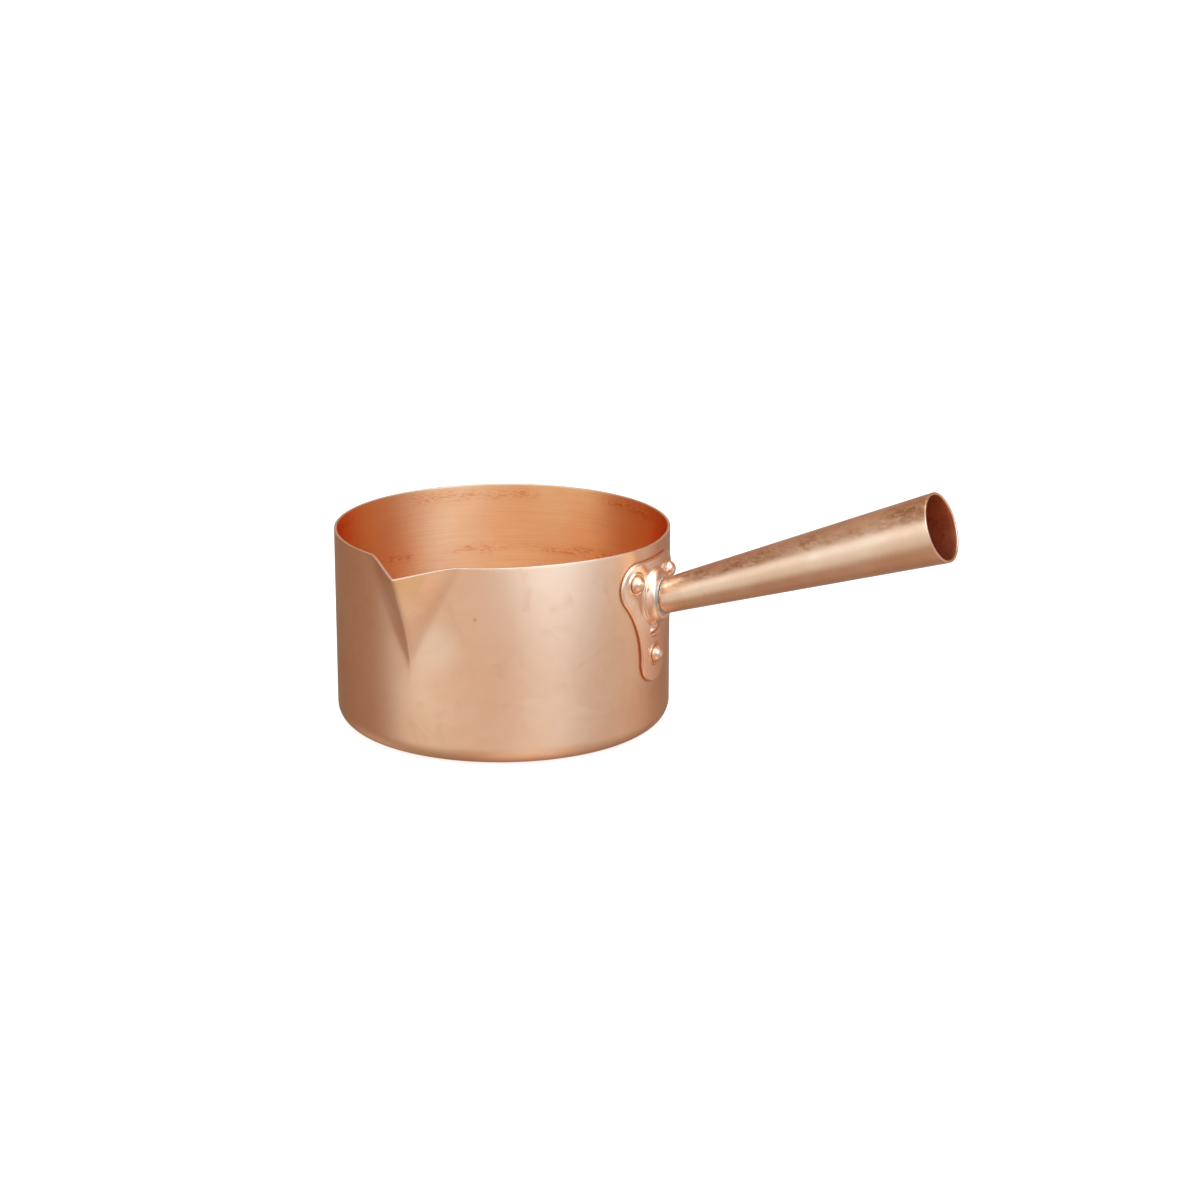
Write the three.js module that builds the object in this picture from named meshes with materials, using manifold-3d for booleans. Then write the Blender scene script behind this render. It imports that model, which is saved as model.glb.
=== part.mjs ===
// Copper sugar pot: a straight pan of bare copper sheet with a pressed pouring lip. A pressed
// copper plate is held to the wall by three rivets, and a hollow conical handle is soldered to it.
// Millimetres. The origin is the middle of the flat bottom, +Z is up, the handle points along +X.
import * as THREE from "three";
import { mergeVertices } from "three/addons/utils/BufferGeometryUtils.js";
import Module from "manifold-3d";

const wasm = await Module();
wasm.setup();
const { degToRad, clamp, lerp } = THREE.MathUtils;

// Pot body
const potRadius = 80; // outside of the wall
const potHeight = 94.5;
const potSheet = 1.3; // thickness of the wall and the bottom
const cornerRadius = 9; // outside, between the bottom and the wall

// Pouring lip, pressed out of the wall as a V that starts at the rim and ends in a point below it
const lipAngle = degToRad(-92.4); // round from the handle
const lipHalfWidth = 23.8; // along the rim
const lipDepth = 56; // from the rim down to the point of the V
const lipReach = 14.1; // how far the tip stands out from the wall
const lipDip = 4.9; // how far the tip sinks below the rim
const lipFlare = 1.4; // 1 gives flat sides, more gives hollow sides that run softly into the wall

// The pressing pulls the wall in a little between the lip and the handle
const pullIn = 3.7;
const pullInAngle = degToRad(-39);
const pullInHalfSpread = degToRad(42);
const pullInDepth = 54; // from the rim down to where the wall is straight again

// Gap between pieces that touch on the real pot
const clearance = 0.3;

// Bracket plate: two lobes with the upper rivets, and a foot with the lower one
const plateSheet = 1.4;
const rivetDrop = 15.4; // from the rim down to the upper rivets
const rivetHalfSpread = 15.2; // along the wall, from the middle to an upper rivet
const rivetRise = 36.9; // from the lower rivet up to the upper ones
const rivetEdge = 9.4; // from an upper rivet to the side and to the top edge of the plate
const lobeRadius = 11.7;
const lobeSweep = degToRad(130); // how far the round of a lobe turns before the waist starts
const footRadius = 10.6;
const footBelowRivet = 3.3; // from the lower rivet down to the centre of the foot
const waistStart = 1.0; // from the centre of the foot up to where the waist starts
const waistPull = 10.5; // how far the waist keeps the direction of the lobe and of the foot
const seatRingRadius = 4.9; // raised ring round each rivet head
const seatRingWidth = 1.2;
const seatRingHeight = 0.6;

// Boss pressed up in the plate, and the spigot on it that the handle is pushed over
const bossHalfWidth = 11; // on the plate, along the wall
const bossHalfHeight = 13.5; // on the plate, up and down
const bossDrop = 24.4; // from the rim down to the middle of the boss on the plate
const bossStandOut = 6.8; // from the wall to the top of the boss, along the handle
const spigotLength = 8;
const spigotWall = 1.0;

// Rivets
const shankRadius = 2.0;
const headRadius = 4.0;
const headHeight = 3.6;
const tailHeight = 1.1; // low head inside the pot

// Handle
const handleDrop = 26.3; // from the rim down to where the handle's axis meets the wall
const handleRiseAngle = degToRad(20.2);
const handleEnd = 151; // from the wall to the open end, along the handle
const handleSmallRadius = 8.1; // outside, where it is soldered
const handleMouthRadius = 16; // outside, at the open end
const handleSheet = 1.2;
const solderWidth = 1.0; // across the bead of solder
const solderHeight = 1.8; // along the handle

const UP = new THREE.Vector3(0, 0, 1);
const upperRivetHeight = potHeight - rivetDrop;
const lowerRivetHeight = upperRivetHeight - rivetRise;
const handleHeight = potHeight - handleDrop;
const plateOutside = clearance + plateSheet; // both are measured out from the wall
const rivetSpread = rivetHalfSpread / potRadius; // as an angle
const rivets = [
  { name: "rivet_upper_left", angle: -rivetSpread, height: upperRivetHeight },
  { name: "rivet_upper_right", angle: rivetSpread, height: upperRivetHeight },
  { name: "rivet_lower", angle: 0, height: lowerRivetHeight },
];

// Finishes
const satinCopper = { color: 0xdba886, roughness: 0.38, metalness: 1 };
const pressedCopper = { color: 0xd99d7c, roughness: 0.28, metalness: 1 };
const handleCopper = { color: 0xcf9570, roughness: 0.33, metalness: 1 };
const greySolder = { color: 0xa9a8a4, roughness: 0.5, metalness: 0.9 };

// A closed geometry as a solid that can be joined and cut
function solidOf(geometry) {
  const plain = new THREE.BufferGeometry();
  plain.setAttribute("position", geometry.getAttribute("position"));
  plain.setIndex(geometry.getIndex());
  const merged = mergeVertices(plain, 1e-4);
  return new wasm.Manifold(
    new wasm.Mesh({
      numProp: 3,
      vertProperties: merged.getAttribute("position").array,
      triVerts: new Uint32Array(merged.getIndex().array),
    }),
  );
}

function geometryOf(solid) {
  const mesh = solid.getMesh();
  const geometry = new THREE.BufferGeometry();
  geometry.setAttribute("position", new THREE.BufferAttribute(mesh.vertProperties, 3));
  geometry.setIndex(new THREE.BufferAttribute(mesh.triVerts, 1));
  geometry.computeVertexNormals();
  return geometry;
}

// A profile of [radius, height] pairs turned round the Z axis
function turned(profile, segments) {
  const points = profile.map(([radius, height]) => new THREE.Vector2(radius, height));
  return new THREE.LatheGeometry(points, segments).rotateX(Math.PI / 2);
}

// Points of a quarter of an ellipse, from its foot on the outside to its crown on the inside
function quarterRound(innerRadius, outerRadius, foot, crown, steps) {
  return Array.from({ length: steps + 1 }, (_, i) => {
    const turn = (i / steps) * (Math.PI / 2);
    const radius = innerRadius + (outerRadius - innerRadius) * Math.cos(turn);
    return [radius, lerp(foot, crown, Math.sin(turn))];
  });
}

// Where a point of the plain round pot lies once the lip is pressed and the wall is pulled in
function formed(angle, radius, height) {
  const intoPull = clamp((height - potHeight + pullInDepth) / pullInDepth, 0, 1);
  const acrossPull = clamp((angle - pullInAngle) / pullInHalfSpread, -1, 1);
  const pulled = pullIn * Math.cos((acrossPull * Math.PI) / 2) ** 2 * intoPull ** 2;

  const intoLip = Math.min(1, (height - potHeight + lipDepth) / lipDepth);
  const fromLip = Math.abs(Math.atan2(Math.sin(angle - lipAngle), Math.cos(angle - lipAngle)));
  const pressed = Math.max(0, intoLip - (fromLip * potRadius) / lipHalfWidth) ** lipFlare;

  const reach = radius - pulled + lipReach * pressed;
  return new THREE.Vector3(
    reach * Math.cos(angle),
    reach * Math.sin(angle),
    height - lipDip * pressed,
  );
}

// A point of the pot's outside, and the direction square to the copper there. alongR and alongZ
// give the direction in which the profile runs, from the middle of the bottom to the rim.
function skin(angle, { radius, height, alongR, alongZ }) {
  const step = 1e-3;
  const at = (turn, along) =>
    formed(angle + turn, radius + along * alongR, height + along * alongZ);
  const round = at(step, 0).sub(at(-step, 0));
  const up = at(0, step).sub(at(0, -step));
  return { point: at(0, 0), normal: round.cross(up).normalize() };
}

// The point that lies out from the wall by the given distance
function offWall(angle, height, distance) {
  const { point, normal } = skin(angle, { radius: potRadius, height, alongR: 0, alongZ: 1 });
  return point.addScaledVector(normal, distance);
}

// Moves a piece that is built on the Z axis to a place on the wall, standing square to it
function stoodOnWall(object, angle, height) {
  const wall = skin(angle, { radius: potRadius, height, alongR: 0, alongZ: 1 });
  object.position.copy(wall.point);
  object.quaternion.setFromUnitVectors(UP, wall.normal);
  object.updateMatrix();
  return object;
}

function toolOnWall(geometry, rivet) {
  const { matrix } = stoodOnWall(new THREE.Object3D(), rivet.angle, rivet.height);
  return solidOf(geometry.applyMatrix4(matrix));
}

// Wraps a flat shape round the wall: x runs along the wall, y is the height, z the distance out
function wrapped(geometry) {
  const position = geometry.getAttribute("position");
  for (let i = 0; i < position.count; i++) {
    const x = position.getX(i);
    const point = offWall(x / potRadius, position.getY(i), position.getZ(i));
    position.setXYZ(i, point.x, point.y, point.z);
  }
  return geometry;
}

// A closed skin over rings of points, with the first and the last ring closed by a fan
function closedOver(rings, firstMiddle, lastMiddle) {
  const count = rings[0].length;
  const points = [firstMiddle, ...rings.flat(), lastMiddle];
  const index = [];
  for (let i = 0; i < count; i++) {
    const next = (i + 1) % count;
    index.push(0, 1 + next, 1 + i);
    for (let ring = 0; ring + 1 < rings.length; ring++) {
      const near = 1 + ring * count;
      const far = near + count;
      index.push(near + i, near + next, far + next);
      index.push(near + i, far + next, far + i);
    }
    const last = 1 + (rings.length - 1) * count;
    index.push(points.length - 1, last + i, last + next);
  }
  return new THREE.BufferGeometry().setFromPoints(points).setIndex(index);
}

// Angles round the pot: closer together in the lip, with one on its ridge
function anglesRoundPot() {
  const lipHalfAngle = lipHalfWidth / potRadius;
  const lipSteps = 10;
  const otherSteps = 72;
  const angles = [];
  for (let i = -lipSteps; i <= lipSteps; i++) {
    const share = Math.sign(i) * Math.abs(i / lipSteps) ** 1.4;
    angles.push(lipAngle + share * lipHalfAngle);
  }
  const rest = 2 * (Math.PI - lipHalfAngle);
  for (let i = 1; i < otherSteps; i++) {
    const angle = lipAngle + lipHalfAngle + (rest * i) / otherSteps;
    angles.push(angle > Math.PI ? angle - 2 * Math.PI : angle);
  }
  return angles;
}

// The pot's outline from the edge of the flat bottom to the rim
function potProfile() {
  const flatRadius = potRadius - cornerRadius;
  const cornerSteps = 5;
  const stations = [];
  for (let i = 0; i <= cornerSteps; i++) {
    const turn = (i / cornerSteps) * (Math.PI / 2);
    stations.push({
      radius: flatRadius + cornerRadius * Math.sin(turn),
      height: cornerRadius * (1 - Math.cos(turn)),
      alongR: Math.cos(turn),
      alongZ: Math.sin(turn),
    });
  }
  const lipFoot = Math.max(potHeight - lipDepth, cornerRadius + 1);
  const lowerSteps = 3;
  const lipSteps = 10;
  for (let i = 1; i <= lowerSteps + lipSteps; i++) {
    const height =
      i <= lowerSteps
        ? lerp(cornerRadius, lipFoot, i / lowerSteps)
        : lerp(lipFoot, potHeight, (i - lowerSteps) / lipSteps);
    stations.push({ radius: potRadius, height, alongR: 0, alongZ: 1 });
  }
  return stations;
}

function potBody() {
  const angles = anglesRoundPot();
  const stations = potProfile();
  const outside = stations.map((at) => angles.map((angle) => skin(angle, at).point));
  const inside = stations.map((at) =>
    angles.map((angle) => {
      const { point, normal } = skin(angle, at);
      return point.addScaledVector(normal, -potSheet);
    }),
  );
  const rings = [...outside, ...inside.reverse()];
  const floor = new THREE.Vector3(0, 0, potSheet);
  let body = solidOf(closedOver(rings, new THREE.Vector3(), floor));
  for (const rivet of rivets) body = body.subtract(rivetHole(rivet));
  return geometryOf(body);
}

// The hole for a rivet, through the wall and the plate
function rivetHole(rivet) {
  const radius = shankRadius + clearance;
  const out = plateOutside + headHeight;
  const profile = [
    [0, -out],
    [radius, -out],
    [radius, out],
    [0, out],
  ];
  return toolOnWall(turned(profile, 20), rivet);
}

// The flat outline of the plate: x along the wall, y the height above the bottom
function plateOutline() {
  const footHeight = lowerRivetHeight - footBelowRivet;
  const waistFoot = footHeight + waistStart;
  const endTurn = Math.PI / 2 + lobeSweep;
  const lobeX = rivetHalfSpread + rivetEdge - lobeRadius;
  const lobeHeight = upperRivetHeight + rivetEdge - lobeRadius;
  const leaveX = -lobeX + lobeRadius * Math.cos(endTurn);
  const leaveY = lobeHeight + lobeRadius * Math.sin(endTurn);
  const controlX = leaveX - waistPull * Math.sin(endTurn);
  const controlY = leaveY + waistPull * Math.cos(endTurn);
  const upperWaist = waistFoot + waistPull;

  const outline = new THREE.Shape();
  outline.moveTo(lobeX, lobeHeight + lobeRadius);
  outline.absarc(-lobeX, lobeHeight, lobeRadius, Math.PI / 2, endTurn);
  outline.bezierCurveTo(controlX, controlY, -footRadius, upperWaist, -footRadius, waistFoot);
  outline.absarc(0, footHeight, footRadius, Math.PI, 2 * Math.PI);
  outline.lineTo(footRadius, waistFoot);
  outline.bezierCurveTo(footRadius, upperWaist, -controlX, controlY, -leaveX, leaveY);
  outline.absarc(lobeX, lobeHeight, lobeRadius, Math.PI - endTurn, Math.PI / 2);
  return outline;
}

// A slab of the given span that follows the wall between two distances out from it
function slabOnWall(halfLength, low, high, near, far) {
  const slab = new THREE.BoxGeometry(2 * halfLength, high - low, far - near, 16, 10, 1);
  return solidOf(wrapped(slab.translate(0, (low + high) / 2, (near + far) / 2)));
}

// A boss that starts oval on the plate and ends round and square to the handle. It can be made
// smaller all over, for its hollow.
function bossForm(footX, inset) {
  const topRadius = bossTopRadius - inset;
  const foot = new THREE.Vector3(footX - inset, 0, potHeight - bossDrop);
  const top = onHandleAxis(bossStandOut - inset);
  const steps = 5;
  const around = 32;
  const rings = [];
  for (let i = 0; i <= steps; i++) {
    const turn = (i / steps) * (Math.PI / 2);
    const middle = foot.clone().lerp(top, Math.sin(turn));
    const tilt = handleRiseAngle * Math.sin(turn);
    const halfWidth = lerp(topRadius, bossHalfWidth - inset, Math.cos(turn));
    const halfHeight = lerp(topRadius, bossHalfHeight - inset, Math.cos(turn));
    rings.push(tiltedRing(middle, tilt, halfWidth, halfHeight, around));
  }
  const behind = foot.clone().setX(foot.x - bossHalfWidth / 2);
  rings.unshift(tiltedRing(behind, 0, bossHalfWidth - inset, bossHalfHeight - inset, around));
  return solidOf(closedOver(rings, behind, top));
}

function tiltedRing(middle, tilt, halfWidth, halfHeight, count) {
  return Array.from({ length: count }, (_, i) => {
    const turn = (i / count) * 2 * Math.PI;
    const rise = halfHeight * Math.sin(turn);
    return new THREE.Vector3(
      middle.x - rise * Math.sin(tilt),
      middle.y + halfWidth * Math.cos(turn),
      middle.z + rise * Math.cos(tilt),
    );
  });
}

// The point on the handle's axis at a distance from the wall
function onHandleAxis(distance) {
  return new THREE.Vector3(
    potRadius + distance * Math.cos(handleRiseAngle),
    0,
    handleHeight + distance * Math.sin(handleRiseAngle),
  );
}

const handleStart = bossStandOut + clearance;

// Outside radius of the handle at a distance from the wall
function handleRadius(distance) {
  const share = (distance - handleStart) / (handleEnd - handleStart);
  return lerp(handleSmallRadius, handleMouthRadius, share);
}

const bossTopRadius = handleSmallRadius + clearance + solderWidth;

// A frame whose Z axis is the handle's axis, with its origin where that axis meets the wall
function handleFrame() {
  const frame = new THREE.Group();
  frame.position.copy(onHandleAxis(0));
  frame.rotation.y = Math.PI / 2 - handleRiseAngle;
  frame.updateMatrix();
  return frame;
}

function handleBracket() {
  const low = lowerRivetHeight - footBelowRivet - footRadius;
  const high = upperRivetHeight + rivetEdge;
  const halfLength = rivetHalfSpread + rivetEdge;
  const spare = 1;
  const wideSlab = [halfLength + spare, low - spare, high + spare];
  const behindPlate = slabOnWall(...wideSlab, -bossHalfWidth, clearance);
  const reach = 6; // past the plate on both sides, so that the chords of the cutter stay clear
  const cutter = new THREE.ExtrudeGeometry(plateOutline(), {
    depth: plateOutside + 2 * reach,
    bevelEnabled: false,
    curveSegments: 12,
  }).translate(0, 0, -reach);
  const plate = slabOnWall(...wideSlab, clearance, plateOutside).intersect(
    solidOf(wrapped(cutter)),
  );

  const plateX = potRadius + plateOutside;
  const bossFootX = Math.sqrt(plateX ** 2 - bossHalfWidth ** 2); // the plate curves away to here
  const boss = bossForm(bossFootX, 0);
  const hollow = bossForm(bossFootX, plateSheet);

  const { matrix } = handleFrame();
  const spigotFoot = bossStandOut - plateSheet / 2;
  const spigotTop = bossStandOut + spigotLength;
  const spigotFootRadius = handleRadius(handleStart) - handleSheet - clearance;
  const spigotTopRadius = handleRadius(spigotTop) - handleSheet - clearance;
  const spigot = turned(
    [
      [0, spigotFoot],
      [spigotFootRadius, spigotFoot],
      [spigotTopRadius, spigotTop],
      [0, spigotTop],
    ],
    32,
  ).applyMatrix4(matrix);
  const boreRadius = spigotFootRadius - spigotWall;
  const bore = turned(
    [
      [0, bossStandOut - 2 * plateSheet],
      [boreRadius, bossStandOut - 2 * plateSheet],
      [boreRadius, spigotTop + 1],
      [0, spigotTop + 1],
    ],
    32,
  ).applyMatrix4(matrix);

  let bracket = plate.add(boss).subtract(behindPlate).subtract(hollow);
  bracket = bracket.add(solidOf(spigot)).subtract(solidOf(bore));
  for (const rivet of rivets) {
    bracket = bracket.add(toolOnWall(seatRing(), rivet)).subtract(rivetHole(rivet));
  }
  return geometryOf(bracket);
}

// The low round ring that the punch leaves in the plate round a rivet head
function seatRing() {
  const inner = seatRingRadius - seatRingWidth / 2;
  const outer = seatRingRadius + seatRingWidth / 2;
  const sunk = plateOutside - plateSheet / 2;
  const edge = plateOutside + seatRingHeight / 2;
  const crown = plateOutside + seatRingHeight;
  const profile = [
    [inner, sunk],
    [outer, sunk],
    [outer, plateOutside],
    [outer - seatRingWidth / 4, edge],
    [seatRingRadius, crown],
    [inner + seatRingWidth / 4, edge],
    [inner, plateOutside],
    [inner, sunk],
  ];
  return turned(profile, 24);
}

// A rivet that stands square to the wall: low head inside, shank, and domed head outside
function rivet() {
  const tail = -potSheet - clearance;
  const seat = plateOutside + clearance;
  const tailDome = quarterRound(0, headRadius, tail, tail - tailHeight, 3).reverse();
  const headDome = quarterRound(0, headRadius, seat + headHeight / 6, seat + headHeight, 5);
  const profile = [
    ...tailDome,
    [shankRadius, tail],
    [shankRadius, seat],
    [headRadius, seat],
    ...headDome,
  ];
  return turned(profile, 20);
}

function handleTube() {
  const profile = [
    [handleSmallRadius, handleStart],
    [handleMouthRadius, handleEnd],
    [handleMouthRadius - handleSheet, handleEnd],
    [handleSmallRadius - handleSheet, handleStart],
    [handleSmallRadius, handleStart],
  ];
  return turned(profile, 44);
}

// The bead of solder in the corner between the boss and the small end of the handle
function solderRing() {
  const foot = bossStandOut + clearance;
  const top = foot + solderHeight;
  const inner = handleRadius(top) + clearance;
  const outer = bossTopRadius;
  const profile = [
    [inner, foot],
    ...quarterRound(inner, outer, foot, top, 4),
    [inner, foot],
  ];
  return turned(profile, 40);
}

function piece(name, geometry, finish) {
  const mesh = new THREE.Mesh(geometry, new THREE.MeshStandardMaterial(finish));
  mesh.name = name;
  return mesh;
}

const pot = new THREE.Group();
pot.add(piece("pot_body", potBody(), satinCopper));
pot.add(piece("handle_bracket", handleBracket(), pressedCopper));
for (const { name, angle, height } of rivets) {
  pot.add(stoodOnWall(piece(name, rivet(), pressedCopper), angle, height));
}
const handle = handleFrame();
handle.add(piece("handle_tube", handleTube(), handleCopper));
handle.add(piece("solder_ring", solderRing(), greySolder));
pot.add(handle);

export default pot;
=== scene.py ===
import math

import bmesh
import bpy
import numpy as np
from mathutils import Matrix, Vector
from mathutils.geometry import delaunay_2d_cdt


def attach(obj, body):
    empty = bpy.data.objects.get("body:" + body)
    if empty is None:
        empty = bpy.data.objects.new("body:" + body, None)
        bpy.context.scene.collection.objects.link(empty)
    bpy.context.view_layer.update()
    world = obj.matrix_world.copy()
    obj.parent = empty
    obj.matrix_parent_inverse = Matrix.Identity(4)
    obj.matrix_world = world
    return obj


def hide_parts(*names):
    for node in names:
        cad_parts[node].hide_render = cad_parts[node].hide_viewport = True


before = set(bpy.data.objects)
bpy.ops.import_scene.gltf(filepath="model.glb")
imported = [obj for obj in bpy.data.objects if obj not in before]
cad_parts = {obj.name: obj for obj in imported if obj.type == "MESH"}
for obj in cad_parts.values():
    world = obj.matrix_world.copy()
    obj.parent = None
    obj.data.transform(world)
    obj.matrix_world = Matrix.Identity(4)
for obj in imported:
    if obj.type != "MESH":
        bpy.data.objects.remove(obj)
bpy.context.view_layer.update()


# The pan is one sheet of bare copper, spun to a straight wall with a rounded bottom corner.
# Its rim is cut square and dressed with a file, and a V of a pouring lip is pressed out of
# the wall. Outside it is satin polished, and inside it is brushed round and round.
MM = 0.001
pan_radius = 79.94
pan_height = 94.5
pan_sheet = 1.3
pan_corner = 9.0
rim_softening = 0.28
lip_angle = math.radians(-92.4)
lip_half_width = 23.8
lip_depth = 49.5
lip_reach = 14.1
lip_dip = 4.9
lip_flare = 1.4
lip_ridge_softening = 0.7
lip_crease = 0.1
pull_in = 3.7
pull_angle = math.radians(-39)
pull_half_spread = math.radians(42)
pull_depth = 54.0
chatter_heights = (89.5, 61.5)
chatter_reach = 4.5


def pressed_pan(angle, radius, height):
    """Where a point of the plain round pan lies once its lip is pressed, in millimetres.

    The pressing also pulls the wall in a little between the lip and the handle.
    """
    into_pull = np.clip((height - pan_height + pull_depth) / pull_depth, 0, 1)
    across_pull = np.clip((angle - pull_angle) / pull_half_spread, -1, 1)
    pulled = pull_in * np.cos(across_pull * math.pi / 2) ** 2 * into_pull**2

    into_lip = np.minimum(1, (height - pan_height + lip_depth) / lip_depth)
    turn = np.arctan2(np.sin(angle - lip_angle), np.cos(angle - lip_angle))
    from_ridge = np.hypot(turn * pan_radius, lip_ridge_softening) - lip_ridge_softening
    share = into_lip - from_ridge / lip_half_width
    share = (share + np.hypot(share, lip_crease)) / (1 + math.hypot(1, lip_crease))
    pressed = share**lip_flare * (height > 0)

    reach = radius - pulled + lip_reach * pressed
    rise = height - lip_dip * pressed
    return np.stack([reach * np.cos(angle), reach * np.sin(angle), rise], -1)


def unit(vectors):
    return vectors / np.linalg.norm(vectors, axis=-1, keepdims=True)


def pan_skin(angle, radius, height, along_r, along_z):
    """Points of the pan's outside, the way out of the copper there, and the way up along it."""
    step = 1e-3
    onward = pressed_pan(angle + step, radius, height)
    backward = pressed_pan(angle - step, radius, height)
    above = pressed_pan(angle, radius + step * along_r, height + step * along_z)
    below = pressed_pan(angle, radius - step * along_r, height - step * along_z)
    up_wall = unit(above - below)
    square_to_wall = unit(np.cross(onward - backward, up_wall))
    return pressed_pan(angle, radius, height), square_to_wall, up_wall


def skinned(rings):
    """Four-sided faces over closed rings of points, each ring joined to the next."""
    ring_count, around = rings.shape[:2]
    here = np.arange(around)
    following = np.roll(here, -1)
    faces = []
    for ring in range(ring_count - 1):
        near = ring * around
        far = near + around
        faces += np.stack([near + here, near + following, far + following, far + here], 1).tolist()
    return faces


def smooth_object(name, points, faces):
    """A smoothly shaded object from points in millimetres."""
    mesh = bpy.data.meshes.new(name)
    mesh.from_pydata((np.asarray(points) * MM).tolist(), [], faces)
    mesh.polygons.foreach_set("use_smooth", [True] * len(mesh.polygons))
    mesh.update()
    piece = bpy.data.objects.new(name, mesh)
    bpy.context.scene.collection.objects.link(piece)
    return piece


def angles_round_pan(lip_share=1.08, ridge_half_width=2.5):
    """Angles round the pan, closer together over the lip and closest on its ridge."""
    lip_half_angle = lip_share * lip_half_width / pan_radius
    ridge_half_angle = ridge_half_width / pan_radius
    lip_left = np.linspace(-lip_half_angle, -ridge_half_angle, 44, endpoint=False)
    ridge = np.linspace(-ridge_half_angle, ridge_half_angle, 24, endpoint=False)
    lip_right = np.linspace(ridge_half_angle, lip_half_angle, 44, endpoint=False)
    rest = np.linspace(lip_half_angle, 2 * math.pi - lip_half_angle, 300, endpoint=False)
    angles = np.concatenate([lip_left, ridge, lip_right, rest]) + lip_angle
    return np.where(angles > math.pi, angles - 2 * math.pi, angles)


def pan_stations():
    """Radius, height and running direction of the profile from near the middle to the rim."""
    flat_radius = pan_radius - pan_corner
    stations = [(radius, 0.0, 1.0, 0.0) for radius in np.linspace(8, flat_radius, 10)[:-1]]
    for turn in np.linspace(0, math.pi / 2, 15):
        radius = flat_radius + pan_corner * math.sin(turn)
        height = pan_corner * (1 - math.cos(turn))
        stations.append((radius, height, math.cos(turn), math.sin(turn)))
    for height in np.linspace(pan_corner, pan_height - rim_softening, 76)[1:]:
        stations.append((pan_radius, height, 0.0, 1.0))
    return np.array(stations)


pan_angles = angles_round_pan()[None, :]
wall, square_to_wall, up_wall = pan_skin(pan_angles, *(pan_stations().T[:, :, None]))
lining = wall - pan_sheet * square_to_wall
rim_base, rim_out, rim_up = wall[-1], square_to_wall[-1], up_wall[-1]
outer_edge = []
inner_edge = []
for turn in np.linspace(0, math.pi / 2, 5)[1:]:
    along_edge = rim_softening * (1 - math.cos(turn))
    up_edge = rim_softening * math.sin(turn)
    outer_edge.append(rim_base - along_edge * rim_out + up_edge * rim_up)
    inner_edge.append(rim_base - (pan_sheet - along_edge) * rim_out + up_edge * rim_up)
rim_rings = np.array(outer_edge + inner_edge[::-1])
pan_rings = np.concatenate([wall, rim_rings, lining[::-1]])
around_pan = pan_rings.shape[1]
pan_faces = skinned(pan_rings)
bottom_middle = pan_rings.size // 3
floor_middle = bottom_middle + 1
last_ring = bottom_middle - around_pan
for i in range(around_pan):
    following = (i + 1) % around_pan
    pan_faces.append([bottom_middle, following, i])
    pan_faces.append([floor_middle, last_ring + i, last_ring + following])
pan_points = np.concatenate([pan_rings.reshape(-1, 3), [[0, 0, 0], [0, 0, pan_sheet]]])
pan = smooth_object("pan", pan_points, pan_faces)

OUTSIDE, EDGE, INSIDE = range(3)
finish_of_ring = [OUTSIDE] * (len(wall) - 1) + [EDGE] * (len(rim_rings) + 1)
finish_of_ring += [INSIDE] * (len(lining) - 1)
finish_of_face = np.repeat(finish_of_ring, around_pan).tolist() + [OUTSIDE, INSIDE] * around_pan
pan.data.polygons.foreach_set("material_index", finish_of_face)


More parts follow.
